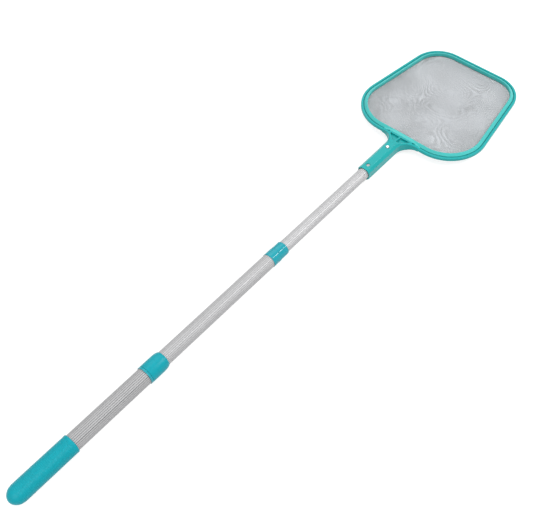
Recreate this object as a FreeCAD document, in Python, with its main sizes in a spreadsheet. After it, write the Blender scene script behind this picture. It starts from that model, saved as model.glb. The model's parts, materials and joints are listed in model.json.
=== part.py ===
import FreeCAD, Part
import math
import os
import Sketcher

doc = FreeCAD.newDocument("leaf_skimmer_net")
sheet = doc.addObject("Spreadsheet::Sheet", "Sizes")

# Driving sizes in millimetres, counts and degrees. Positions named "_at" are measured along the pole
# from the closed end of the grip, and those named "_reach" back from the rim's near edge. Heights named
# "_rise" are measured up from the pole's axis.
SIZES = {
    "overall_length": 1040.0,
    "grip_diameter": 28.0,
    "grip_length": 100.5,
    "grip_dome": 14.0,
    "grip_end_wall": 10.5,
    "lower_diameter": 25.0,
    "middle_diameter": 22.0,
    "upper_diameter": 19.0,
    "tube_wall": 0.9,
    "flute_count": 8,
    "flute_depth": 0.3,
    "flute_width": 1.3,
    "collar_one_at": 226.5,
    "collar_one_length": 34.5,
    "collar_one_diameter": 27.6,
    "collar_two_at": 477.0,
    "collar_two_length": 32.5,
    "collar_two_diameter": 23.2,
    "nut_two_diameter": 22.2,
    "bush_length": 46.0,
    "slide_gap": 0.08,
    "collet_gap": 0.08,
    "press_gap": 0.04,
    "thread_gap": 0.1,
    "taper_gap": 0.15,
    "slot_width": 1.2,
    "rivet_diameter": 2.4,
    "socket_reach": 98.0,
    "socket_flat": 21.2,
    "socket_top_width": 12.7,
    "button_margin": 10.0,
    "open_hole_reach": 87.0,
    "button_reach": 35.5,
    "button_diameter": 5.9,
    "button_hole": 6.0,
    "socket_hole": 6.6,
    "head_length": 237.5,
    "near_corner_radius": 69.0,
    "near_corner_offset": 45.0,
    "far_corner_radius": 53.0,
    "far_corner_offset": 45.5,
    "rim_top_rise": 1.5,
    "lip_rise": 4.6,
    "rim_bottom_rise": -4.5,
    "seat_rise": -2.3,
    "net_thickness": 0.6,
    "wall_width": 3.8,
    "groove_width": 1.6,
    "rim_width": 11.0,
    "neck_arm_radius": 25.0,
    "neck_rise": 5.4,
    "panel_rib": 1.5,
    "panel_floor": 2.4,
    "panel_half_width": 19.0,
    "mesh_pitch": 14.6,
    "mesh_cord": 2.0,
}


class Size:
    """A length that keeps its number together with the sheet expression that drives it."""

    def __init__(self, value, text):
        self.value = float(value)
        self.text = text

    @staticmethod
    def of(other):
        return other if isinstance(other, Size) else Size(other, "(%.6f)" % other)

    def join(self, other, sign, value):
        return Size(value, "(" + self.text + sign + Size.of(other).text + ")")

    def __add__(self, other):
        return self.join(other, " + ", self.value + Size.of(other).value)

    def __sub__(self, other):
        return self.join(other, " - ", self.value - Size.of(other).value)

    def __mul__(self, other):
        return self.join(other, " * ", self.value * Size.of(other).value)

    def __truediv__(self, other):
        return self.join(other, " / ", self.value / Size.of(other).value)

    def __neg__(self):
        return Size(-self.value, "(0 - " + self.text + ")")


size = {}
for row, (alias, number) in enumerate(SIZES.items(), start=1):
    sheet.set("A%d" % row, alias)
    sheet.set("B%d" % row, repr(number))
    sheet.setAlias("B%d" % row, alias)
    size[alias] = Size(number, "Sizes." + alias)
doc.recompute()
overall_length = size["overall_length"]
origin_shift = (-overall_length / 2).text

bodies = []


def new_body(label):
    """Open a body whose own Y axis is the pole's axis, set at its place in the object's frame."""
    body = doc.addObject("PartDesign::Body", label)
    body.Label = label
    body.setExpression(".Placement.Base.y", origin_shift)
    body.setExpression(".Placement.Base.z", "Sizes.grip_diameter / 2")
    doc.recompute()
    bodies.append(body)
    return body


def origin_of(body, role):
    return [item for item in body.Origin.OriginFeatures if item.Role == role][0]


def new_sketch(body, name, role="XY_Plane", lift=None):
    """Sketch on an origin plane of its body; lift moves it along the plane's normal."""
    sketch = body.newObject("Sketcher::SketchObject", body.Label + "_" + name)
    sketch.AttachmentSupport = (origin_of(body, role), [""])
    sketch.MapMode = "FlatFace"
    if lift is not None:
        sketch.AttachmentOffset = FreeCAD.Placement(FreeCAD.Vector(0, 0, lift.value), FreeCAD.Rotation())
        sketch.setExpression(".AttachmentOffset.Base.z", lift.text)
    return sketch


def drive(sketch, constraint, length):
    index = sketch.addConstraint(constraint)
    sketch.setExpression("Constraints[%d]" % index, length.text)
    return index


def fix_point(sketch, item, end, across, along):
    """Hold one point at its two distances from the sketch's origin."""
    for kind, length in (("DistanceX", Size.of(across)), ("DistanceY", Size.of(along))):
        drive(sketch, Sketcher.Constraint(kind, -1, 1, item, end, length.value), length)


def polygon(sketch, points):
    """Closed outline of straight lines through (across, along) points."""
    points = [(Size.of(across), Size.of(along)) for across, along in points]
    first = sketch.GeometryCount
    spots = [FreeCAD.Vector(across.value, along.value, 0) for across, along in points]
    for spot, after in zip(spots, spots[1:] + spots[:1]):
        sketch.addGeometry(Part.LineSegment(spot, after), False)
    total = len(points)
    for step in range(total):
        sketch.addConstraint(Sketcher.Constraint("Coincident", first + step, 2, first + (step + 1) % total, 1))
    for step, (across, along) in enumerate(points):
        fix_point(sketch, first + step, 1, across, along)


def circle(sketch, across, along, diameter):
    index = sketch.addGeometry(Part.Circle(FreeCAD.Vector(Size.of(across).value, Size.of(along).value, 0),
                                           FreeCAD.Vector(0, 0, 1), Size.of(diameter).value / 2), False)
    fix_point(sketch, index, 3, across, along)
    drive(sketch, Sketcher.Constraint("Diameter", index, Size.of(diameter).value), Size.of(diameter))


def revolve(body, name, points, cut=False):
    """Turn a profile of (radius, distance from the grip's end) points about the pole's axis."""
    sketch = new_sketch(body, name + "_profile")
    polygon(sketch, points)
    kind = "PartDesign::Groove" if cut else "PartDesign::Revolution"
    feature = body.newObject(kind, body.Label + "_" + name)
    feature.Profile = sketch
    feature.ReferenceAxis = (sketch, ["V_Axis"])
    feature.Angle = 360.0
    doc.recompute()
    return feature


def check_cut(feature, before):
    doc.recompute()
    if not feature.Shape.Volume < before - 1e-3:
        raise RuntimeError(feature.Name + " removed nothing")


def pad(body, name, sketch, length, backwards=False, both_ways=False):
    feature = body.newObject("PartDesign::Pad", body.Label + "_" + name)
    feature.Profile = sketch
    feature.Length = length.value
    feature.setExpression("Length", length.text)
    feature.Reversed = backwards
    if both_ways:
        feature.SideType = "Symmetric"
    doc.recompute()
    return feature


def pocket(body, name, sketch, length=None, backwards=False):
    """Cut along the sketch's normal: a length goes one way, none goes all the way through both ways."""
    before = body.Tip.Shape.Volume
    feature = body.newObject("PartDesign::Pocket", body.Label + "_" + name)
    feature.Profile = sketch
    if length is None:
        feature.Type = "ThroughAll"
        feature.SideType = "Symmetric"
    else:
        feature.Length = length.value
        feature.setExpression("Length", length.text)
        feature.Reversed = backwards
    check_cut(feature, before)
    return feature


def around_pole(body, feature, count, name):
    """Repeat a feature evenly round the pole's axis."""
    pattern = body.newObject("PartDesign::PolarPattern", body.Label + "_" + name)
    pattern.Originals = [feature]
    pattern.Axis = (origin_of(body, "Y_Axis"), [""])
    pattern.Angle = 360.0
    pattern.Occurrences = int(Size.of(count).value)
    pattern.setExpression("Occurrences", Size.of(count).text)
    body.Tip = pattern
    doc.recompute()
    return pattern


def chamfer(body, name, edges, amount, across=None):
    """Bevel named edges of the newest feature; across gives the bevel's second leg."""
    if not edges:
        raise RuntimeError(body.Label + " " + name + " found no edges")
    base = body.Tip
    feature = body.newObject("PartDesign::Chamfer", body.Label + "_" + name)
    feature.Base = (base, edges)
    feature.Size = amount
    if across is not None:
        feature.ChamferType = "Two distances"
        feature.Size2 = across
    doc.recompute()
    return feature


def dress(body, name, amount, chosen):
    """Bevel the edges that the chooser picks."""
    edges = ["Edge%d" % number for number, edge in enumerate(body.Tip.Shape.Edges, start=1) if chosen(edge)]
    return chamfer(body, name, edges, amount)


def dress_loop(body, name, height, outer, amount, across=None):
    """Bevel the whole outer or inner loop of the flat face at a height."""
    shape = body.Tip.Shape
    level = [face for face in shape.Faces
             if face.BoundBox.ZMin > height - 1e-3 and face.BoundBox.ZMax < height + 1e-3][0]
    wires = [wire for wire in level.Wires if wire.isSame(level.OuterWire) == outer]
    loop = [edge for wire in wires for edge in wire.Edges]
    edges = ["Edge%d" % number for number, edge in enumerate(shape.Edges, start=1)
             if any(edge.isSame(one) for one in loop)]
    return chamfer(body, name, edges, amount, across)


grip_radius = size["grip_diameter"] / 2
lower_radius = size["lower_diameter"] / 2
middle_radius = size["middle_diameter"] / 2
upper_radius = size["upper_diameter"] / 2
wall = size["tube_wall"]
press_gap = size["press_gap"]
grip_end = size["grip_length"]
grip_floor = size["grip_end_wall"]

# Grip: a sleeve with a domed closed end, pushed over the lower tube.
grip = new_body("grip")
dome_steps = [math.radians(turn) for turn in (41, 66, 90)]
dome = [(grip_radius * math.sin(turn), size["grip_dome"] * (1 - math.cos(turn))) for turn in dome_steps]
revolve(grip, "sleeve", [(0, 0), (grip_radius * 0.34, 0)] + dome + [
    (grip_radius, grip_end), (lower_radius + press_gap, grip_end), (lower_radius + press_gap, grip_floor),
    (0, grip_floor)])


def fluted_tube(label, radius, begin, end):
    """Drawn tube with shallow flutes rolled along its whole length."""
    body = new_body(label)
    revolve(body, "wall", [(radius - wall, begin), (radius, begin), (radius, end), (radius - wall, end)])
    sketch = new_sketch(body, "flute", "XZ_Plane")
    half_width = size["flute_width"] / 2
    polygon(sketch, [(-half_width, radius + size["flute_depth"]), (0, radius - size["flute_depth"]),
                     (half_width, radius + size["flute_depth"])])
    flute = pocket(body, "flute_cut", sketch)
    around_pole(body, flute, size["flute_count"], "flutes")
    return body


def top_hole(body, name, along, diameter, reach):
    """Round hole from the pole's axis up through the wall."""
    sketch = new_sketch(body, name + "_outline", "XY_Plane")
    circle(sketch, 0, along, diameter)
    return pocket(body, name, sketch, reach, True)


def side_hole(body, along):
    """Rivet hole through both X sides."""
    sketch = new_sketch(body, "rivet_hole_outline", "YZ_Plane")
    circle(sketch, along, 0, size["rivet_diameter"])
    return pocket(body, "rivet_hole", sketch)


one_at = size["collar_one_at"]
one_end = one_at + size["collar_one_length"]
two_at = size["collar_two_at"]
two_end = two_at + size["collar_two_length"]
near = overall_length - size["head_length"]
mouth = near - size["socket_reach"]
button_at = near - size["button_reach"]
bore_end = button_at + size["button_margin"]
lower_lap = 14.0
upper_lap = 12.0
lower_tube_end = one_at + lower_lap
middle_tube_end = two_at + upper_lap
middle_tube_begin = lower_tube_end - size["bush_length"]
upper_tube_begin = middle_tube_end - size["bush_length"]
upper_tube_end = bore_end - 0.5
rivet_one_at = one_at + 9
rivet_two_at = two_at + 7

lower_tube = fluted_tube("lower_tube", lower_radius, grip_floor + press_gap, lower_tube_end)
side_hole(lower_tube, rivet_one_at)
middle_tube = fluted_tube("middle_tube", middle_radius, middle_tube_begin, middle_tube_end)
side_hole(middle_tube, rivet_two_at)
upper_tube = fluted_tube("upper_tube", upper_radius, upper_tube_begin, upper_tube_end)
top_hole(upper_tube, "button_hole", button_at, size["button_hole"], upper_radius + 1)


def guide_bush(label, tube_radius, bore_radius, begin, end):
    """Thin sliding sleeve round the inner end of a tube, which stops against the collet's shoulder."""
    body = new_body(label)
    inner = tube_radius + press_gap
    outer = bore_radius - size["slide_gap"]
    revolve(body, "sleeve", [(inner, begin), (outer, begin), (outer, end), (inner, end)])


stop_gap = 0.3
guide_bush("middle_guide_bush", middle_radius, lower_radius - wall, middle_tube_begin,
           lower_tube_end - stop_gap)
guide_bush("upper_guide_bush", upper_radius, middle_radius - wall, upper_tube_begin,
           middle_tube_end - stop_gap)


nose_taper = 2.0
nose_fall = 0.6
lower_nose_reach = 24.0
upper_nose_reach = 27.0
rib_height = 0.6
rib_half_width = 0.7
collar_gap = 0.3


def collet_body(label, outer_tube, inner_tube, sleeve, flange, flange_to, begin, shoulder, slots_from, end):
    """Collet pressed over a tube's end: flange, sleeve, and a split nose that closes on the inner tube."""
    body = new_body(label)
    tube_bore = outer_tube + press_gap
    nose_bore = inner_tube + size["collet_gap"]
    lip = sleeve - nose_fall
    revolve(body, "turned", [(tube_bore, begin), (flange, begin), (flange, flange_to), (sleeve, flange_to),
                             (sleeve, end - nose_taper), (lip, end), (nose_bore, end),
                             (nose_bore, shoulder), (tube_bore, shoulder)])
    half_slot = size["slot_width"] / 2
    sketch = new_sketch(body, "slot_outline")
    polygon(sketch, [(-half_slot, slots_from), (half_slot, slots_from), (half_slot, end + 1),
                     (-half_slot, end + 1)])
    slot = pocket(body, "slot", sketch, flange, True)
    around_pole(body, slot, 4, "slots")
    return body


def lock_nut(label, sleeve, outer, crown, crown_length, bore, begin, collet_end, end):
    """Nut over a collet: threaded skirt, a taper that closes the collet's fingers, and a bevelled crown."""
    body = new_body(label)
    skirt = sleeve + size["thread_gap"]
    taper_begin = collet_end - nose_taper + size["taper_gap"]
    revolve(body, "shell", [(skirt, begin), (outer, begin), (outer, end - crown_length), (outer - crown, end),
                            (bore, end), (bore, taper_begin + (skirt - bore) * (nose_taper / nose_fall)),
                            (skirt, taper_begin)])
    return body


def grip_ribs(body, begin, end, radius):
    """Six low ribs along a collar for the fingers."""
    sketch = new_sketch(body, "rib_outline", "YZ_Plane", radius - rib_height)
    polygon(sketch, [(begin, -rib_half_width), (end, -rib_half_width), (end, rib_half_width),
                     (begin, rib_half_width)])
    rib = pad(body, "rib", sketch, Size.of(2 * rib_height - 0.2))
    around_pole(body, rib, 6, "ribs")


def rivet(label, inner, outer, along):
    """Two short rivets on the X sides that lock a collet body to its tube."""
    body = new_body(label)
    sketch = new_sketch(body, "outline", "YZ_Plane", inner)
    circle(sketch, along, 0, size["rivet_diameter"] - 0.08)
    pin = pad(body, "pin", sketch, outer - inner)
    around_pole(body, pin, 2, "pair")


# Collar between the lower and the middle tube.
lower_flange = size["collar_one_diameter"] / 2
lower_sleeve = lower_radius + 0.5
lower_flange_to = one_at + 3
lower_nose_end = one_at + lower_nose_reach
lower_collet = collet_body("lower_collet_body", lower_radius, middle_radius, lower_sleeve, lower_flange,
                           lower_flange_to, one_at, lower_tube_end, lower_tube_end + 4, lower_nose_end)
side_hole(lower_collet, rivet_one_at)
lock_nut("lower_lock_nut", lower_sleeve, lower_flange, 1.9, 8.0, middle_radius + 0.35,
         lower_flange_to + collar_gap, lower_nose_end, one_end)
rivet("lower_collet_rivets", lower_radius - wall + 0.1, lower_sleeve - 0.05, rivet_one_at)

# Collar between the middle and the upper tube, whose flange and nut carry finger ribs.
upper_flange = size["collar_two_diameter"] / 2
upper_sleeve = upper_radius + 1.0
upper_flange_to = two_at + 15
upper_nose_end = two_at + upper_nose_reach
upper_crown_radius = size["nut_two_diameter"] / 2
upper_collet = collet_body("upper_collet_body", middle_radius, upper_radius, upper_sleeve, upper_flange,
                           upper_flange_to, two_at, middle_tube_end, two_at + 18, upper_nose_end)
grip_ribs(upper_collet, two_at + 0.9, upper_flange_to - 0.3, upper_flange)
side_hole(upper_collet, rivet_two_at)
upper_nut = lock_nut("upper_lock_nut", upper_sleeve, upper_crown_radius, 1.1, 1.1, upper_radius + 0.35,
                     upper_flange_to + collar_gap, upper_nose_end, two_end)
grip_ribs(upper_nut, upper_flange_to + 0.6, upper_nose_end, upper_crown_radius)
rivet("upper_collet_rivets", middle_radius - wall + 0.1, upper_flange - 0.1, rivet_two_at)

# Plug in the head end of the upper tube.
plug = new_body("tube_end_plug")
plug_radius = upper_radius - wall - press_gap
plug_begin = upper_tube_end - 3.5
revolve(plug, "plug", [(0, plug_begin), (plug_radius, plug_begin),
                       (plug_radius, upper_tube_end), (0, upper_tube_end)])

# Spring button through the tube's wall and the socket's wall, on a bent leaf spring inside the tube.
button_foot_rise = 6.2
button_top_rise = size["socket_flat"] / 2 + 1.5
button_dome = 0.9
foot_thickness = 1.0
button = new_body("snap_button")
foot_sketch = new_sketch(button, "foot_outline", "XY_Plane", Size.of(button_foot_rise))
circle(foot_sketch, 0, button_at, 8.4)
pad(button, "foot", foot_sketch, Size.of(foot_thickness))
stem_sketch = new_sketch(button, "stem_outline", "XY_Plane", Size.of(button_foot_rise + foot_thickness))
circle(stem_sketch, 0, button_at, size["button_diameter"])
pad(button, "stem", stem_sketch, button_top_rise - button_foot_rise - foot_thickness)
dress(button, "dome", button_dome, lambda edge: edge.BoundBox.ZMin > button_top_rise.value - 0.01)

leaf = 0.5
spring_reach = 34
leaf_top = button_foot_rise - 0.05
leaf_bottom = -8.0
bend_rise = -2.2
spring = new_body("snap_spring")
spring_sketch = new_sketch(spring, "leaf_outline", "YZ_Plane")
bend_at = button_at - spring_reach
polygon(spring_sketch, [(button_at + 5, leaf_top), (button_at + 5, leaf_top - leaf),
                        (button_at - 5, leaf_top - leaf), (bend_at + 1, bend_rise + 0.8), (bend_at, bend_rise),
                        (bend_at + 1, bend_rise - 0.8), (button_at - 5, leaf_bottom + leaf),
                        (button_at + 1, leaf_bottom + leaf), (button_at + 1, leaf_bottom),
                        (button_at - 5, leaf_bottom), (bend_at + 0.8, bend_rise - 1.3),
                        (bend_at - 0.6, bend_rise), (bend_at + 0.8, bend_rise + 1.3),
                        (button_at - 5, leaf_top)])
pad(spring, "leaf", spring_sketch, Size.of(5.0), both_ways=True)


UP = FreeCAD.Vector(0, 0, 1)


def segment(sketch, start, end):
    """Straight line between two (across, along) points."""
    spots = [FreeCAD.Vector(Size.of(across).value, Size.of(along).value, 0) for across, along in (start, end)]
    return sketch.addGeometry(Part.LineSegment(*spots), False)


def arc(sketch, across, along, radius, begin, end, hold_centre=True):
    """Arc of a driven radius from one angle to another in radians."""
    hub = FreeCAD.Vector(Size.of(across).value, Size.of(along).value, 0)
    index = sketch.addGeometry(Part.ArcOfCircle(Part.Circle(hub, UP, radius.value), begin, end), False)
    if hold_centre:
        fix_point(sketch, index, 3, across, along)
    drive(sketch, Sketcher.Constraint("Radius", index, radius.value), radius)
    return index


def rim_outline(sketch, inset):
    """Closed head outline: a straight near edge, two wide corners, tapering sides, two tighter far corners."""
    near_radius = size["near_corner_radius"] - inset
    far_radius = size["far_corner_radius"] - inset
    near_x, far_x = size["near_corner_offset"], size["far_corner_offset"]
    near_y = near + size["near_corner_radius"]
    far_y = overall_length - size["far_corner_radius"]
    run = far_y.value - near_y.value
    shift = far_x.value - near_x.value
    fall = math.asin((near_radius.value - far_radius.value) / math.hypot(run, shift))
    lean = fall - math.atan2(shift, run)
    quarter = math.pi / 2
    corners = ((near_x, near_y, near_radius, -quarter, lean), (far_x, far_y, far_radius, lean, quarter),
               (-far_x, far_y, far_radius, quarter, 2 * quarter - lean),
               (-near_x, near_y, near_radius, 2 * quarter - lean, 3 * quarter))
    first = sketch.GeometryCount
    for x, y, radius, begin, end in corners:
        arc(sketch, x, y, radius, begin, end)
    for step in range(4):
        after = (step + 1) % 4
        x, y, radius, begin, end = corners[step]
        next_x, next_y, next_radius, next_begin, next_end = corners[after]
        line = segment(sketch, (x.value + radius.value * math.cos(end), y.value + radius.value * math.sin(end)),
                       (next_x.value + next_radius.value * math.cos(next_begin),
                        next_y.value + next_radius.value * math.sin(next_begin)))
        sketch.addConstraint(Sketcher.Constraint("Tangent", first + step, 2, line, 1))
        sketch.addConstraint(Sketcher.Constraint("Tangent", line, 2, first + after, 1))


half_flat = size["socket_flat"] / 2
half_top = size["socket_top_width"] / 2
rim_top = size["rim_top_rise"]
rim_bottom = size["rim_bottom_rise"]
lip_rise = size["lip_rise"]
neck_rise = size["neck_rise"]
wall_width = size["wall_width"]
groove_to = wall_width + size["groove_width"]
arm = size["neck_arm_radius"]
arm_x = half_flat + arm
arm_y = near - arm
neck_base = arm_y - 7
neck_tip = near + 8
panel_half = size["panel_half_width"]
sides = ((1, "right"), (-1, "left"))
deep = Size.of(12.0)

# Head frame: socket, neck with two arms, and the outer wall and seat of the rim, moulded in one.
frame = new_body("head_frame")
rim_sketch = new_sketch(frame, "rim_outline", "XY_Plane", rim_bottom)
rim_outline(rim_sketch, Size.of(0.0))
pad(frame, "rim", rim_sketch, rim_top - rim_bottom)
dress_loop(frame, "rim_round", rim_top.value, True, 0.7)
dress_loop(frame, "rim_draft", rim_bottom.value, True, 1.3, 3.4)


def neck_outline(sketch):
    """Stem that widens through two hollow arcs into the rim's straight near edge."""
    left = arc(sketch, -arm_x, arm_y, arm, 0, math.pi / 2, hold_centre=False)
    right = arc(sketch, arm_x, arm_y, arm, math.pi / 2, math.pi, hold_centre=False)
    corners = [(half_flat, arm_y), (half_flat, neck_base), (-half_flat, neck_base), (-half_flat, arm_y)]
    stem = [segment(sketch, *ends) for ends in zip(corners, corners[1:])]
    corners_beyond = [(-arm_x, near), (-arm_x, neck_tip), (arm_x, neck_tip), (arm_x, near)]
    root = [segment(sketch, *ends) for ends in zip(corners_beyond, corners_beyond[1:])]
    for line, (across, along) in zip(stem + root, corners[:3] + corners_beyond[:3]):
        fix_point(sketch, line, 1, across, along)
    for line, (across, along) in ((stem[2], corners[3]), (root[2], corners_beyond[3])):
        fix_point(sketch, line, 2, across, along)
    chain = ((right, 2, stem[0], 1), (stem[0], 2, stem[1], 1), (stem[1], 2, stem[2], 1), (stem[2], 2, left, 1),
             (left, 2, root[0], 1), (root[0], 2, root[1], 1), (root[1], 2, root[2], 1), (root[2], 2, right, 1))
    for item, end, after, begin in chain:
        sketch.addConstraint(Sketcher.Constraint("Coincident", item, end, after, begin))


neck_sketch = new_sketch(frame, "neck_outline", "XY_Plane", -half_flat)
neck_outline(neck_sketch)
pad(frame, "neck", neck_sketch, size["socket_flat"])
dress(frame, "neck_bevel", half_flat.value - half_top.value,
      lambda edge: abs(edge.CenterOfMass.z) > half_flat.value - 0.01 and edge.BoundBox.YLength > 1
      and edge.BoundBox.YMax < near.value + 0.01)

# The neck's top falls from the socket to the rim's lip, and both arms slope down to the rim's wall.
lip_at = near + 9
fall_from = bore_end + 1.5
above = new_sketch(frame, "neck_top_line", "YZ_Plane")
polygon(above, [(fall_from, half_flat), (near, neck_rise), (near + wall_width, lip_rise),
                (lip_at, lip_rise), (lip_at, half_flat + 1), (fall_from, half_flat + 1)])
pocket(frame, "neck_top", above)
for side, label in sides:
    slope = new_sketch(frame, label + "_arm_slope", "XZ_Plane")
    polygon(slope, [((panel_half - 1) * side, neck_rise + 0.7), (arm_x * side, rim_top),
                    ((arm_x + 1) * side, rim_top), ((arm_x + 1) * side, half_flat + 1),
                    ((panel_half - 1) * side, half_flat + 1)])
    pocket(frame, label + "_arm_top", slope)
below = new_sketch(frame, "neck_bottom_line", "YZ_Plane")
polygon(below, [(fall_from, -half_flat), (near, rim_bottom), (lip_at, rim_bottom),
                (lip_at, -half_flat - 1), (fall_from, -half_flat - 1)])
pocket(frame, "neck_bottom", below)

# Octagonal socket with a bore for the upper tube.
socket_sketch = new_sketch(frame, "socket_outline", "XZ_Plane", -mouth)
polygon(socket_sketch, [(-half_top, half_flat), (half_top, half_flat), (half_flat, half_top),
                        (half_flat, -half_top), (half_top, -half_flat), (-half_top, -half_flat),
                        (-half_flat, -half_top), (-half_flat, half_top)])
pad(frame, "socket", socket_sketch, neck_base + 2 - mouth, backwards=True)

# Seat for the net's edge, and the window that the net closes.
seat_sketch = new_sketch(frame, "seat_outline", "XY_Plane", size["seat_rise"])
rim_outline(seat_sketch, wall_width)
pocket(frame, "seat", seat_sketch, half_flat - size["seat_rise"] + 1, True)
window_sketch = new_sketch(frame, "window_outline", "XY_Plane")
rim_outline(window_sketch, size["rim_width"] - 1.5)
pocket(frame, "window", window_sketch)

bore_radius = upper_radius + size["slide_gap"]
mouth_radius = bore_radius + 0.6
revolve(frame, "bore", [(0, mouth - 1), (mouth_radius, mouth - 1), (mouth_radius, mouth + 1.2),
                        (bore_radius, mouth + 1.8), (bore_radius, bore_end), (0, bore_end)], True)
top_hole(frame, "open_hole", near - size["open_hole_reach"], size["socket_hole"], half_flat + 2)
top_hole(frame, "catch_hole", button_at, size["socket_hole"], half_flat + 2)

# Two recesses in the neck's top beside a middle rib, and two cores in its underside.
rib_half = size["panel_rib"]
recess_end = near - 14.5
core_end = near - 20
core_rise = Size.of(-0.6)
for side, label in sides:
    recess = new_sketch(frame, label + "_recess_outline", "XY_Plane", size["panel_floor"])
    polygon(recess, [(rib_half * side, near), (panel_half * side, near), (panel_half * side * 0.32, recess_end),
                     (rib_half * side, recess_end)])
    pocket(frame, label + "_recess", recess, deep, True)
for side, label in sides:
    core = new_sketch(frame, label + "_core_outline", "XY_Plane", core_rise)
    polygon(core, [(rib_half * side, near - 1), (panel_half * side, near - 1),
                   (panel_half * side * 0.63, near - 10), (panel_half * side * 0.42, core_end),
                   (rib_half * side, core_end)])
    pocket(frame, label + "_core", core, deep)

# The rim's groove runs on a little way into both arms of the neck.
groove_turn = math.radians(26)
groove_floor = Size.of(0.6)
groove_radii = (arm + wall_width, arm + groove_to)
for side, label in sides:
    turn = new_sketch(frame, label + "_groove_outline", "XY_Plane", groove_floor)
    begin = math.pi / 2 if side > 0 else math.pi / 2 - groove_turn
    ends = (begin, begin + groove_turn)
    bows = [arc(turn, arm_x * side, arm_y, radius, *ends) for radius in groove_radii]
    for point, angle in enumerate(ends, start=1):
        ray = [(arm_x.value * side + radius.value * math.cos(angle),
                arm_y.value + radius.value * math.sin(angle)) for radius in groove_radii]
        cap = segment(turn, *ray)
        turn.addConstraint(Sketcher.Constraint("Coincident", cap, 1, bows[0], point))
        turn.addConstraint(Sketcher.Constraint("Coincident", cap, 2, bows[1], point))
        turn.addConstraint(Sketcher.Constraint("Angle", cap, angle))
    pocket(frame, label + "_groove", turn, deep, True)

# Clamp ring: the wide inner band of the rim, laid on the net's edge inside the outer wall.
net_top = size["seat_rise"] + size["net_thickness"]
ring = new_body("clamp_ring")
band_sketch = new_sketch(ring, "band_outline", "XY_Plane", net_top)
rim_outline(band_sketch, groove_to)
rim_outline(band_sketch, size["rim_width"])
pad(ring, "band", band_sketch, lip_rise - net_top)
dress_loop(ring, "slope", lip_rise.value, True, 3.1, 4.0)
dress_loop(ring, "lip", lip_rise.value, False, 0.8)
bridge_bottom = -0.25
bridge_depth = Size.of(6.6)
bridge_begin = near + wall_width + 0.15
bridge_sketch = new_sketch(ring, "bridge_outline", "XZ_Plane", -bridge_begin)
polygon(bridge_sketch, [(-arm_x, rim_top), (-panel_half + 1, lip_rise), (panel_half - 1, lip_rise),
                        (arm_x, rim_top), (arm_x, bridge_bottom), (-arm_x, bridge_bottom)])
pad(ring, "bridge", bridge_sketch, bridge_depth, backwards=True)

# Net cord: the strip that is pressed into the groove over the net's edge.
cord_gap = 0.05
cord = new_body("net_cord")
cord_sketch = new_sketch(cord, "strip_outline", "XY_Plane", net_top)
rim_outline(cord_sketch, wall_width + cord_gap)
rim_outline(cord_sketch, groove_to - cord_gap)
pad(cord, "strip", cord_sketch, Size.of(1.4))


def outline_face(inset):
    """Flat face inside the head outline at an inset from its outer edge."""
    sketch = doc.addObject("Sketcher::SketchObject", "net_outline")
    rim_outline(sketch, inset)
    doc.recompute()
    return Part.Face(Part.Wire(Part.__sortEdges__(sketch.Shape.Edges)))


# Net: one open sheet whose edge lies under the clamp ring.
net_edge = outline_face(wall_width + 0.2)
net_limit = outline_face(size["rim_width"] + 0.6)
pitch = SIZES["mesh_pitch"]
gap = pitch - SIZES["mesh_cord"]
net_middle = SIZES["overall_length"] - SIZES["head_length"] / 2
reach = int(SIZES["head_length"] / 2) // int(pitch) + 1
openings = []
for column in range(-reach, reach + 1):
    for row in range(-reach, reach + 1):
        corner = FreeCAD.Vector(column * pitch - gap / 2, net_middle + row * pitch - gap / 2, 0)
        square = Part.makePlane(gap, gap, corner)
        if abs(square.common(net_limit).Area - square.Area) < 1e-6:
            openings.append(square)
net = doc.addObject("Part::Feature", "net")
net.Label = "net"
net.Shape = net_edge.cut(openings).extrude(FreeCAD.Vector(0, 0, SIZES["net_thickness"]))
net.setExpression(".Placement.Base.y", origin_shift)
net.setExpression(".Placement.Base.z", "Sizes.grip_diameter / 2 + Sizes.seat_rise")
bodies.append(net)
doc.recompute()
print("net openings", len(openings))

for body in bodies:
    for item in [body] + list(getattr(body, "Group", [])):
        if "Invalid" in item.State or "Error" in item.State:
            raise RuntimeError("bad feature " + item.Name)
    if body.Shape.isNull() or not body.Shape.isValid():
        raise RuntimeError(body.Label + " has no sound shape")
os.makedirs("parts", exist_ok=True)
for body in bodies:
    body.Shape.exportStep("parts/" + body.Label + ".step")
    box = body.Shape.BoundBox
    extents = (box.XMin, box.XMax, box.YMin, box.YMax, box.ZMin, box.ZMax)
    print("%-20s solids %d  extents %s" % (body.Label, len(body.Shape.Solids),
                                           " ".join("%.2f" % one for one in extents)))
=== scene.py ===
"""Leaf skimmer net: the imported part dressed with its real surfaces, on a white floor."""
import json
import math

import bpy
from mathutils import Matrix, Vector


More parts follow.
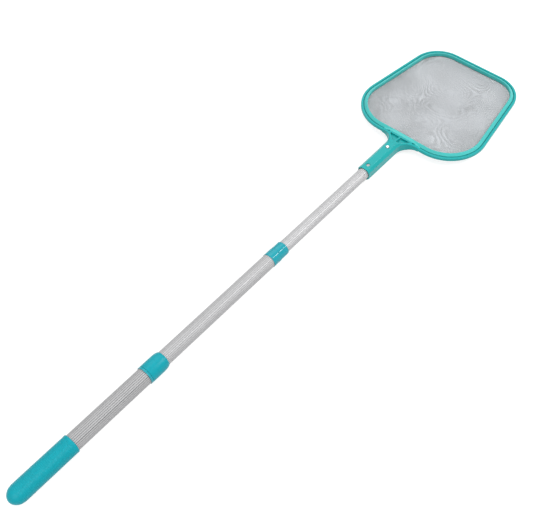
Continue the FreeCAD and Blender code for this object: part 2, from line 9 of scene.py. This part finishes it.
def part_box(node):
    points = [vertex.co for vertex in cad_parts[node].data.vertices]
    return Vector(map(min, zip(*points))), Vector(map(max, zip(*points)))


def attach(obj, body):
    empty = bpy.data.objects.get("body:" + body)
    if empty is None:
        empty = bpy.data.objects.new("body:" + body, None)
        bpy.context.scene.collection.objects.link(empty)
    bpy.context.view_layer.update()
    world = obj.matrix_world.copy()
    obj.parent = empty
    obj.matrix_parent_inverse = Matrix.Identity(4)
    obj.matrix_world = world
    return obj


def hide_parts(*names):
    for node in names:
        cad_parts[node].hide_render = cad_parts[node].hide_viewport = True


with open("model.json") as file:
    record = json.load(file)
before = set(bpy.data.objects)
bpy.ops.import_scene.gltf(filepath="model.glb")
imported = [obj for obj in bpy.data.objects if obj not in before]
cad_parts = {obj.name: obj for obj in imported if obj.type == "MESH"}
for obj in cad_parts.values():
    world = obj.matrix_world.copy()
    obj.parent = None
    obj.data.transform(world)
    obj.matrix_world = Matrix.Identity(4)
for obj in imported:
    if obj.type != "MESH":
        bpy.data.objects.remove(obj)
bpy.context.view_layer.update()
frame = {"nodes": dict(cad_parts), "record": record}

MM = 0.001
# The grip lies on the floor, so the pole's axis is half of the grip's height above it.
AXIS_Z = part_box("grip")[1][2] / 2

# Camera, fitted to the photograph: where it aims, how far back, and its lens.
AIM = Vector((-9.0, -19.4, -0.5)) * MM
DISTANCE = 1265.2 * MM
AZIMUTH = math.radians(41.55)
ELEVATION = math.radians(52.38)
ROLL = math.radians(-1.0)
LENS = 55.64
SENSOR = 36.0


def srgb(*levels):
    """Linear colour from 0-255 display levels."""
    parts = [level / 255 for level in levels]
    return tuple(p / 12.92 if p <= 0.04045 else ((p + 0.055) / 1.055) ** 2.4 for p in parts) + (1.0,)


def grey(level, blue=0):
    """Linear colour of a display level, with a little more blue."""
    return srgb(level, level, level + blue)


# Meshes

def make_mesh(name, points, faces, smooth=True):
    """Mesh object from points in metres."""
    data = bpy.data.meshes.new(name)
    data.from_pydata([tuple(point) for point in points], [], faces)
    data.validate()
    data.update()
    if smooth:
        data.shade_smooth()
    item = bpy.data.objects.new(name, data)
    bpy.context.scene.collection.objects.link(item)
    return item


def keep_edges(item, degrees):
    """Smooth shading that leaves edges sharper than the angle crisp."""
    item.data.set_sharp_from_angle(angle=math.radians(degrees))


def skin(count, size, closed_path=False):
    """Faces between a count of closed rings, each with size points."""
    faces = []
    for ring in range(count if closed_path else count - 1):
        after = (ring + 1) % count
        for step in range(size):
            beside = (step + 1) % size
            faces.append((ring * size + step, ring * size + beside,
                          after * size + beside, after * size + step))
    return faces


def about_axis(radius, angle, along):
    """Point at a radius and angle about the pole's axis, from lengths in millimetres."""
    return radius * MM * math.sin(angle), along * MM, AXIS_Z + radius * MM * math.cos(angle)


def lathe(name, profile, segments=128, degrees=35):
    """Closed profile of (radius, y) in millimetres turned about the pole's axis."""
    points = []
    for turn in range(segments):
        angle = 2 * math.pi * turn / segments
        points += [about_axis(radius, angle, along) for radius, along in profile]
    item = make_mesh(name, points, skin(segments, len(profile), closed_path=True))
    keep_edges(item, degrees)
    return item


# Shader nodes

def add(tree, kind, **values):
    """New node with its settings and input values."""
    node = tree.nodes.new(kind)
    for key, value in values.items():
        if hasattr(node, key):
            setattr(node, key, value)
        else:
            node.inputs[key].default_value = value
    return node


def feed(tree, value, socket):
    """Link an output to a socket, or write a constant on it."""
    if isinstance(value, bpy.types.NodeSocket):
        tree.links.new(value, socket)
    else:
        socket.default_value = value


def math_node(tree, operation, *values, clamp=False):
    """Result of a Math node whose inputs are outputs or numbers."""
    node = add(tree, "ShaderNodeMath", operation=operation, use_clamp=clamp)
    for value, socket in zip(values, node.inputs):
        feed(tree, value, socket)
    return node.outputs[0]


def blend(tree, share, first, second):
    """Colour between two, each an output or a plain colour."""
    node = add(tree, "ShaderNodeMix", data_type="RGBA")
    share_socket, first_socket, second_socket = (node.inputs[slot] for slot in (0, 6, 7))
    feed(tree, share, share_socket)
    feed(tree, first, first_socket)
    feed(tree, second, second_socket)
    return node.outputs[2]


def object_place(tree):
    """Where a point lies in the object's own coordinates."""
    return add(tree, "ShaderNodeTexCoord").outputs["Object"]


def mapped(tree, place, scale, shift=(0.0, 0.0, 0.0)):
    """A place scaled along each axis and then shifted."""
    node = add(tree, "ShaderNodeMapping", Scale=scale, Location=shift)
    tree.links.new(place, node.inputs["Vector"])
    return node.outputs["Vector"]


def length(tree, vector):
    """Length of a vector."""
    node = add(tree, "ShaderNodeVectorMath", operation="LENGTH")
    tree.links.new(vector, node.inputs[0])
    return node.outputs["Value"]


def noise(tree, place, scale, detail, roughness):
    """Noise between 0 and 1 at a place."""
    node = add(tree, "ShaderNodeTexNoise", Scale=scale, Detail=detail, Roughness=roughness)
    tree.links.new(place, node.inputs["Vector"])
    return node.outputs["Fac"]


def bump_normal(tree, height, strength, depth, normal=None):
    """Normal of a surface raised by height, on top of another normal."""
    node = add(tree, "ShaderNodeBump", Strength=strength, Distance=depth)
    tree.links.new(height, node.inputs["Height"])
    if normal is not None:
        tree.links.new(normal, node.inputs["Normal"])
    return node.outputs["Normal"]


# Materials. A noise is written as its scale, detail and roughness.

def material(name, color, roughness, metallic=0.0, build=None):
    """Principled material whose constants sit on its own sockets; build adds its nodes."""
    result = bpy.data.materials.new(name)
    result.use_nodes = True
    shader = result.node_tree.nodes["Principled BSDF"]
    shader.inputs["Base Color"].default_value = color
    shader.inputs["Roughness"].default_value = roughness
    shader.inputs["Metallic"].default_value = metallic
    if build:
        build(result.node_tree, shader)
    return result


def plastic(name, color, roughness, gloss=0.4):
    """Injection-moulded plastic: fine grain, faint mottling and rounded edges."""
    grain_noise, mottle_noise = (1400.0, 3.0, 0.6), (38.0, 2.0, 0.5)
    grain_depth, grain_strength = 0.03 * MM, 0.5
    darker, lighter = 0.93, 1.05
    roughness_range = 0.12
    edge_radius = 0.6 * MM

    def build(tree, shader):
        place = object_place(tree)
        grain = noise(tree, place, *grain_noise)
        mottle = noise(tree, place, *mottle_noise)
        dark = tuple(c * darker for c in color[:3]) + (1.0,)
        light = tuple(min(c * lighter, 1.0) for c in color[:3]) + (1.0,)
        tree.links.new(blend(tree, mottle, dark, light), shader.inputs["Base Color"])
        satin = math_node(tree, "MULTIPLY_ADD", mottle, roughness_range, roughness - roughness_range / 2)
        tree.links.new(satin, shader.inputs["Roughness"])
        rounded = add(tree, "ShaderNodeBevel", samples=6, Radius=edge_radius).outputs["Normal"]
        normal = bump_normal(tree, grain, grain_strength, grain_depth, rounded)
        tree.links.new(normal, shader.inputs["Normal"])
        shader.inputs["Specular IOR Level"].default_value = gloss

    return material(name, color, roughness, build=build)


def drawn(level, radius=None, depth=None, shade=None):
    """Drawn aluminium of a display level: streaks along the tube, a soft bloom, and flute floors painted
    darker as dirt and shade.

    The floors lie depth millimetres within the radius, and are shade levels darker: dirt together with
    painted shade.
    Without a radius the metal is plain.
    """
    streak_noise, bloom_noise = (420.0, 1.0, 0.4), (30.0, 3.0, 0.55)
    streak_stretch, streak_share = 0.008, 0.7
    least_rough, rough_range = 0.4, 0.16
    level_range = 14

    def build(tree, shader):
        place = object_place(tree)
        streak = noise(tree, mapped(tree, place, (1.0, streak_stretch, 1.0)), *streak_noise)
        bloom = noise(tree, place, *bloom_noise)
        rough = math_node(tree, "MULTIPLY_ADD", streak, rough_range, least_rough)
        tree.links.new(rough, shader.inputs["Roughness"])
        bloom_part = math_node(tree, "MULTIPLY", bloom, 1 - streak_share)
        both = math_node(tree, "MULTIPLY_ADD", streak, streak_share, bloom_part)
        surface = blend(tree, both, grey(level - level_range, 1), grey(level + level_range, 1))
        # Dirt and painted shade: the flute floors darken as they sink below the lands.
        if radius:
            from_axis = length(tree, mapped(tree, place, (1.0, 0.0, 1.0), (0.0, 0.0, -AXIS_Z)))
            flute_dirt_and_shade = math_node(tree, "SUBTRACT", radius * MM, from_axis)
            flute_dirt_and_shade = math_node(tree, "DIVIDE", flute_dirt_and_shade, depth * MM, clamp=True)
            surface = blend(tree, flute_dirt_and_shade, surface, grey(level - shade, 1))
        tree.links.new(surface, shader.inputs["Base Color"])

    return build


def brushed(tree, shader):
    """Fine scratches in plain metal."""
    scratch_noise = (2600.0, 2.0, 0.7)
    least_rough, rough_range = 0.18, 0.15
    scratch = noise(tree, object_place(tree), *scratch_noise)
    rough = math_node(tree, "MULTIPLY_ADD", scratch, rough_range, least_rough)
    tree.links.new(rough, shader.inputs["Roughness"])


def dulled_edge(tree, shader):
    """Polished metal, scratched, with painted shade on its rounded rim: grey from 2 mm to 3.4 mm off the
    button's middle.
    """
    # The grey rim is painted shade, which leaves the middle bright as a highlight.
    polished, dull = srgb(240, 241, 242), srgb(120, 134, 136)
    per_metre, offset = 700.0, -1.4
    brushed(tree, shader)
    low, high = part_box("snap_button")
    middle_y = (low[1] + high[1]) / 2
    from_middle = length(tree, mapped(tree, object_place(tree), (1.0, 1.0, 0.0), (0.0, -middle_y, 0.0)))
    # Share of painted shade: 0 at 2 mm off the middle, 1 at 3.4 mm.
    painted_shade_share = math_node(tree, "MULTIPLY_ADD", from_middle, per_metre, offset, clamp=True)
    tree.links.new(blend(tree, painted_shade_share, polished, dull), shader.inputs["Base Color"])


HEAD_COLOR = srgb(19, 156, 156)
# The clamp ring is the head's own plastic, painted lighter as a sheen.
RING_COLOR_WITH_PAINTED_SHEEN = srgb(62, 180, 176)
COLLAR_COLOR = srgb(3, 148, 161)
WHITE_COLOR = srgb(232, 232, 228)
TUBE_LEVEL = 190
MATERIALS = {
    "head_plastic": plastic("head_plastic", HEAD_COLOR, 0.26, gloss=0.26),
    "collar_plastic": plastic("collar_plastic", COLLAR_COLOR, 0.19),
    "grip_plastic": plastic("grip_plastic", COLLAR_COLOR, 0.42, gloss=0.18),
    "tube_aluminium": material("tube_aluminium", grey(TUBE_LEVEL, 1), 0.44, metallic=0.85,
                               build=drawn(TUBE_LEVEL)),
    "white_plastic": plastic("white_plastic", WHITE_COLOR, 0.45),
    "steel": material("steel", grey(190, 4), 0.25, metallic=1.0, build=brushed),
    # The button's grey rim is painted shade.
    "button_metal": material("button_metal", srgb(226, 228, 230), 0.22, metallic=1.0, build=dulled_edge),
}


def dress(item, slot, finish=None):
    """Give a piece the slot's material, or a finish of its own."""
    item.data.materials.clear()
    item.data.materials.append(finish or MATERIALS[slot])


def place_piece(item, body, slot, *nodes, finish=None):
    """Give a made piece its finish, hide the nodes it stands for, and hang it on the body that carries it.
    """
    dress(item, slot, finish)
    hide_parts(*nodes)
    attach(item, body)


for part in frame["record"]["subparts"]:
    if part["material_slot"] in MATERIALS:
        dress(frame["nodes"][part["node"]], part["material_slot"])
# The clamp ring's lighter colour is painted sheen.
dress(frame["nodes"]["clamp_ring"], "head_plastic", plastic("clamp_ring_painted_sheen", RING_COLOR_WITH_PAINTED_SHEEN, 0.22))


# Pole

# How far the grip and the nut stay within their solids, in millimetres, so that the part keeps its size.
GRIP_INSIDE, NUT_INSIDE = 0.05, 0.03


def node_span(node):
    """Where a node begins and ends along the pole, in millimetres."""
    low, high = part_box(node)
    return low[1] / MM, high[1] / MM


def make_grip():
    """Closed sleeve with a domed end and fine moulded rings between two plain lips."""
    begin, end = node_span("grip")
    outer = AXIS_Z / MM - GRIP_INSIDE
    on_axis = 0.01
    bore = 12.55
    bore_floor = begin + 10.5
    dome = 17.0
    dome_steps, plain_steps = 16, 12
    near_lip, far_lip = 0.4, 2.5
    mouth_round, mouth_shave = 0.5, 0.15
    ring_pitch, ring_depth = 2.3, 0.4
    # A ring's points: how far along its pitch each one lies, and its share of the depth.
    ring_shape = ((0.0, 0.0), (0.3, 0.0), (0.55, 0.7), (0.65, 1.0), (0.75, 0.7))

    profile = [(on_axis, begin)]
    for step in range(1, plain_steps + 1):
        angle = math.pi / 2 * step / dome_steps
        profile.append((outer * math.sin(angle), begin + dome * (1 - math.cos(angle))))
    first = profile[-1][1] + near_lip
    last = end - far_lip
    for ring in range(int((last - first) / ring_pitch)):
        for share, sink in ring_shape:
            along = first + (ring + share) * ring_pitch
            rise = max(1 - (along - begin) / dome, 0.0)
            profile.append((outer * math.sqrt(1 - rise ** 2) - ring_depth * sink, along))
    profile += [(outer, last), (outer, end - mouth_round), (outer - mouth_shave, end - mouth_shave),
                (outer - mouth_round, end), (bore, end), (bore, bore_floor), (on_axis, bore_floor)]
    place_piece(lathe("grip_sleeve", profile, degrees=50), "base", "grip_plastic", "grip")


def make_tube(name, node, body, radius, flutes, depth, level, shade, deep=None):
    """Drawn tube with narrow flutes between wide flat lands, one of them deeper.

    The radius and the flutes' depth are in millimetres. The level is the display level
    of the lands, and shade is how many levels darker the flutes' floors are painted, as dirt and painted
    shade.
    """
    begin, end = node_span(node)
    wall = 0.9
    deeper = 1.9
    # Shares of the depth round one flute and the lands beside it.
    flute_shape = (0, 0, 0, 0, 0.3, 1.0, 1.0, 0.3, 0, 0, 0, 0)
    around = flutes * len(flute_shape)
    inner = radius - wall
    points = []
    for ring_radius, along in ((inner, begin), (radius, begin), (radius, end), (inner, end)):
        for step in range(around):
            sink = 0
            if ring_radius == radius:
                flute, place_in_flute = divmod(step, len(flute_shape))
                sink = depth * flute_shape[place_in_flute] * (deeper if flute == deep else 1.0)
            points.append(about_axis(ring_radius - sink, 2 * math.pi * (step + 0.5) / around, along))
    item = make_mesh(name, points, skin(4, around, closed_path=True))
    keep_edges(item, degrees=40)
    finish = material(name, grey(level), 0.36, metallic=0.35, build=drawn(level, radius, depth, shade))
    place_piece(item, body, "tube_aluminium", node, finish=finish)


def make_lower_nut():
    """Smooth nut of the lower collar, with a long round shoulder."""
    begin, end = node_span("lower_lock_nut")
    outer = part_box("lower_lock_nut")[1][0] / MM - NUT_INSIDE
    crown = 11.95
    wide_bore, narrow_bore = 13.12, 11.36
    taper_begin, taper_end = end - 12.4, end - 6.6
    shoulder_begin, shoulder_length = end - 14.0, 13.5
    shoulder_steps, shoulder_power = 14, 3.6
    # Rounded edges: how far in from the nut's surface and from its end each point lies.
    near_edge = ((0.4, 0.0), (0.12, 0.15), (0.0, 0.5))
    far_edge = ((0.2, 0.1), (0.45, 0.0))

    profile = [(wide_bore, begin)]
    profile += [(outer - inward, begin + along) for inward, along in near_edge]
    for step in range(shoulder_steps + 1):
        share = step / shoulder_steps
        profile.append((outer - (outer - crown) * share ** shoulder_power,
                        shoulder_begin + shoulder_length * share))
    profile += [(crown - inward, end - along) for inward, along in far_edge]
    profile += [(narrow_bore, end), (narrow_bore, taper_end), (wide_bore, taper_begin)]
    place_piece(lathe("lower_nut_shell", profile), "lower_nut", "collar_plastic", "lower_lock_nut",
                finish=plastic("nut_plastic", COLLAR_COLOR, 0.34, gloss=0.22))


# The tubes' lands step lighter from the lower tube to the upper one.
make_tube("lower_tube_drawn", "lower_tube", "base", radius=12.5, flutes=28, depth=0.32,
          level=165, shade=56, deep=3)
make_tube("middle_tube_drawn", "middle_tube", "middle", radius=11.0, flutes=26, depth=0.27,
          level=173, shade=42)
make_tube("upper_tube_drawn", "upper_tube", "upper", radius=9.5, flutes=22, depth=0.27,
          level=181, shade=38)
make_grip()
make_lower_nut()


# Net

# The rim's corners on the right: centre x and y, and radius, in millimetres.
NEAR_CORNER = (45.0, 351.5, 69.0)
FAR_CORNER = (45.5, 467.0, 53.0)
NET_INSET = 4.4
# The middle of the net along the pole, and its half width and half length, in metres.
NET_MIDDLE_Y, NET_HALF_X, NET_HALF_Y = 0.401, 0.107, 0.115


def rim_path(inset, arc_steps=20):
    """Points round the head's outline, set in by an inset in millimetres.

    They run anticlockwise from the near right corner, in metres.
    """
    (near_x, near_y, near_r), (far_x, far_y, far_r) = NEAR_CORNER, FAR_CORNER
    run, shift = far_y - near_y, far_x - near_x
    lean = math.asin((near_r - far_r) / math.hypot(run, shift)) - math.atan2(shift, run)
    quarter = math.pi / 2
    corners = ((near_x, near_y, near_r, -quarter, lean), (far_x, far_y, far_r, lean, quarter),
               (-far_x, far_y, far_r, quarter, 2 * quarter - lean),
               (-near_x, near_y, near_r, 2 * quarter - lean, 3 * quarter))
    path = []
    for x, y, radius, begin, end in corners:
        reach = radius - inset
        for step in range(arc_steps + 1):
            angle = begin + (end - begin) * step / arc_steps
            path.append(((x + reach * math.cos(angle)) * MM, (y + reach * math.sin(angle)) * MM))
    return path


def make_net_sheet():
    """The net as a slightly slack sheet with its edge under the clamp ring, and its area."""
    edge = rim_path(NET_INSET)
    rings = 40
    edge_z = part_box("net")[1][2] - 0.3 * MM
    slack, slack_rate = 1.6 * MM, 1.25
    ripple_height, ripple_rate = 0.35 * MM, 6
    waves_x, waves_y, wave_shift = 61, 53, 1.1
    centre_y = sum(y for _, y in edge) / len(edge)
    points = []
    for ring in range(rings):
        share = 1 - ring / rings
        inside = 1 - share
        sag = slack * math.sin(min(inside * slack_rate, 1.0) * math.pi / 2)
        height = ripple_height * min(inside * ripple_rate, 1.0)
        for x, y in edge:
            px = x * share
            py = centre_y + (y - centre_y) * share
            ripple = height * math.sin(px * waves_x + wave_shift) * math.sin(py * waves_y)
            points.append((px, py, edge_z - sag + ripple))
    points.append((0.0, centre_y, edge_z - slack))
    faces = skin(rings, len(edge))
    last = (rings - 1) * len(edge)
    faces += [(last + step, last + (step + 1) % len(edge), len(points) - 1) for step in range(len(edge))]
    net = make_mesh("woven_net", points, faces)
    return net, sum(face.area for face in net.data.polygons)


def woven(tree, shader):
    """Plain weave at the real mesh's pitch: threads show, gaps let light through."""
    weave_pitch, thread_share = 1.1 * MM, 0.5
    bump_strength, bump_depth = 0.6, 0.1 * MM
    thread_dark, thread_light = srgb(98, 103, 107), srgb(178, 183, 188)
    place = object_place(tree)
    split = add(tree, "ShaderNodeSeparateXYZ")
    tree.links.new(place, split.inputs["Vector"])
    x, y = split.outputs["X"], split.outputs["Y"]

    masks = []
    heights = []
    for along in (x, y):
        phase = math_node(tree, "FRACT", math_node(tree, "DIVIDE", along, weave_pitch))
        away = math_node(tree, "ABSOLUTE", math_node(tree, "SUBTRACT", phase, 0.5))
        masks.append(math_node(tree, "LESS_THAN", away, thread_share / 2))
        fall = math_node(tree, "MULTIPLY", away, 2 / thread_share)
        heights.append(math_node(tree, "SUBTRACT", 1.0, fall, clamp=True))
    tree.links.new(math_node(tree, "MAXIMUM", *masks), shader.inputs["Alpha"])
    normal = bump_normal(tree, math_node(tree, "MAXIMUM", *heights), bump_strength, bump_depth)
    tree.links.new(normal, shader.inputs["Normal"])

    # Moire: the far side of the weave beats against the near one in slow swirls, stronger in some zones.
    drift_noise, swirl_noise, zone_noise = (22.0, 3.0, 0.6), (11.0, 1.0, 0.4), (17.0, 0.0, 0.5)
    moire_turns, moire_strength, zone_floor = 200.0, 0.85, 0.41
    drift = noise(tree, place, *drift_noise)
    swirl = noise(tree, place, *swirl_noise)
    zones = math_node(tree, "SUBTRACT", noise(tree, place, *zone_noise), zone_floor, clamp=True)
    wave = math_node(tree, "SINE", math_node(tree, "MULTIPLY", swirl, moire_turns))
    tone = math_node(tree, "MULTIPLY_ADD", wave, math_node(tree, "MULTIPLY", zones, moire_strength), drift)

    # The sheet is darker towards its left side, and painted shade of the rim darkens it near its edges.
    side_slope, side_offset = 1.1, -0.02
    border_power, border_depth = 6.0, 0.42
    side = math_node(tree, "MULTIPLY_ADD", x, side_slope, side_offset)
    from_middle = math_node(tree, "SUBTRACT", y, NET_MIDDLE_Y)
    rises = []
    for reach, half in ((x, NET_HALF_X), (from_middle, NET_HALF_Y)):
        share = math_node(tree, "ABSOLUTE", math_node(tree, "DIVIDE", reach, half))
        rises.append(math_node(tree, "POWER", share, border_power))
    # Painted shade of the rim, rising steeply towards the sheet's edges.
    border = math_node(tree, "MULTIPLY", math_node(tree, "ADD", *rises, clamp=True), border_depth)
    tone = math_node(tree, "SUBTRACT", math_node(tree, "ADD", tone, side), border)
    tree.links.new(blend(tree, tone, thread_dark, thread_light), shader.inputs["Base Color"])


MATERIALS["mesh"] = material("woven_mesh", srgb(190, 193, 196), 0.55, build=woven)
net_sheet, net_area = make_net_sheet()
place_piece(net_sheet, "upper", "mesh", "net")


# Floor, light and camera

WHITE = (1.0, 1.0, 1.0, 1.0)


def seen_ray(tree):
    """1 for rays that show the background: the camera's own, those off a gloss and those through glass."""
    path = add(tree, "ShaderNodeLightPath")
    seen = math_node(tree, "MAXIMUM", path.outputs["Is Camera Ray"], path.outputs["Is Glossy Ray"])
    return math_node(tree, "MAXIMUM", seen, path.outputs["Is Transmission Ray"])


def choose_by_ray(tree, unseen, seen, surface):
    """One shader for the light that falls on the object and another for what is seen."""
    choose = add(tree, "ShaderNodeMixShader")
    for value, socket in zip((seen_ray(tree), unseen, seen), choose.inputs):
        tree.links.new(value, socket)
    tree.links.new(choose.outputs[0], surface)


def white_to_camera(tree, shader):
    """The floor looks like lit white paper, and throws less light back on the object."""
    glow_strength, paper_grey = 0.72, (0.4, 0.4, 0.4, 1.0)
    glow = add(tree, "ShaderNodeEmission", Color=WHITE, Strength=glow_strength)
    paper = add(tree, "ShaderNodeBsdfDiffuse", Color=paper_grey)
    both = add(tree, "ShaderNodeAddShader")
    tree.links.new(paper.outputs[0], both.inputs[0])
    tree.links.new(glow.outputs[0], both.inputs[1])
    choose_by_ray(tree, shader.outputs[0], both.outputs[0], tree.nodes["Material Output"].inputs["Surface"])


def make_stage():
    """Plain floor, far wider than the object."""
    reach = 6.0
    unseen_grey = (0.55, 0.55, 0.55, 1.0)
    corners = [(-reach, -reach, 0), (reach, -reach, 0), (reach, reach, 0), (-reach, reach, 0)]
    floor = make_mesh("floor", corners, [(0, 1, 2, 3)], smooth=False)
    floor.data.materials.append(material("floor_white", unseen_grey, 0.9, build=white_to_camera))


def make_light(name, place_at, aim, size, power):
    """Rectangular lamp that faces its aim; size in metres, power in watts."""
    data = bpy.data.lights.new(name, "AREA")
    data.shape = "RECTANGLE"
    data.size, data.size_y = size
    data.energy = power
    lamp = bpy.data.objects.new(name, data)
    lamp.location = place_at
    lamp.rotation_mode = "QUATERNION"
    lamp.rotation_quaternion = (Vector(aim) - Vector(place_at)).to_track_quat("-Z", "Y")
    bpy.context.scene.collection.objects.link(lamp)


def make_camera():
    """Camera at the photograph's viewing angle."""
    flat = math.cos(ELEVATION)
    back = Vector((math.sin(AZIMUTH) * flat, -math.cos(AZIMUTH) * flat, math.sin(ELEVATION)))
    data = bpy.data.cameras.new("camera")
    data.sensor_fit = "HORIZONTAL"
    data.sensor_width = SENSOR
    data.lens = LENS
    data.clip_start = 0.01
    data.clip_end = 50.0
    camera = bpy.data.objects.new("camera", data)
    bpy.context.scene.collection.objects.link(camera)
    camera.location = AIM + back * DISTANCE
    camera.rotation_mode = "QUATERNION"
    roll = Matrix.Rotation(ROLL, 3, "Z").to_quaternion()
    camera.rotation_quaternion = back.to_track_quat("Z", "Y") @ roll
    bpy.context.scene.camera = camera


def make_world():
    """Soft sky for the light, plain white where the background is seen past the floor."""
    sky_strength = 0.93
    grey_stop, white_stop = (0.0, (0.3, 0.3, 0.31, 1.0)), (0.75, WHITE)
    world = bpy.data.worlds.new("studio")
    bpy.context.scene.world = world
    world.use_nodes = True
    tree = world.node_tree
    sky = tree.nodes["Background"]
    sky.inputs["Strength"].default_value = sky_strength
    split = add(tree, "ShaderNodeSeparateXYZ")
    ramp = add(tree, "ShaderNodeValToRGB")
    for element, (position, color) in zip(ramp.color_ramp.elements, (grey_stop, white_stop)):
        element.position = position
        element.color = color
    tree.links.new(add(tree, "ShaderNodeTexCoord").outputs["Generated"], split.inputs["Vector"])
    tree.links.new(split.outputs["Z"], ramp.inputs["Fac"])
    tree.links.new(ramp.outputs["Color"], sky.inputs["Color"])
    paper = add(tree, "ShaderNodeBackground", Color=WHITE, Strength=1.0)
    choose_by_ray(tree, sky.outputs[0], paper.outputs[0], tree.nodes["World Output"].inputs["Surface"])


make_stage()
make_world()
make_light("softbox_left", (-2.6, 2.0, 5.0), aim=(0, 2.0, 0), size=(6.5, 4.5), power=92.0)
make_light("strip_right", (2.0, 2.45, 2.94), aim=(0, 2.45, 0), size=(3.0, 0.3), power=80.0)
make_light("fill_front", (1.3, -2.6, 2.2), aim=(0, 0.3, 0), size=(2.6, 1.6), power=46.0)
make_camera()
bpy.context.scene.view_settings.view_transform = "Standard"
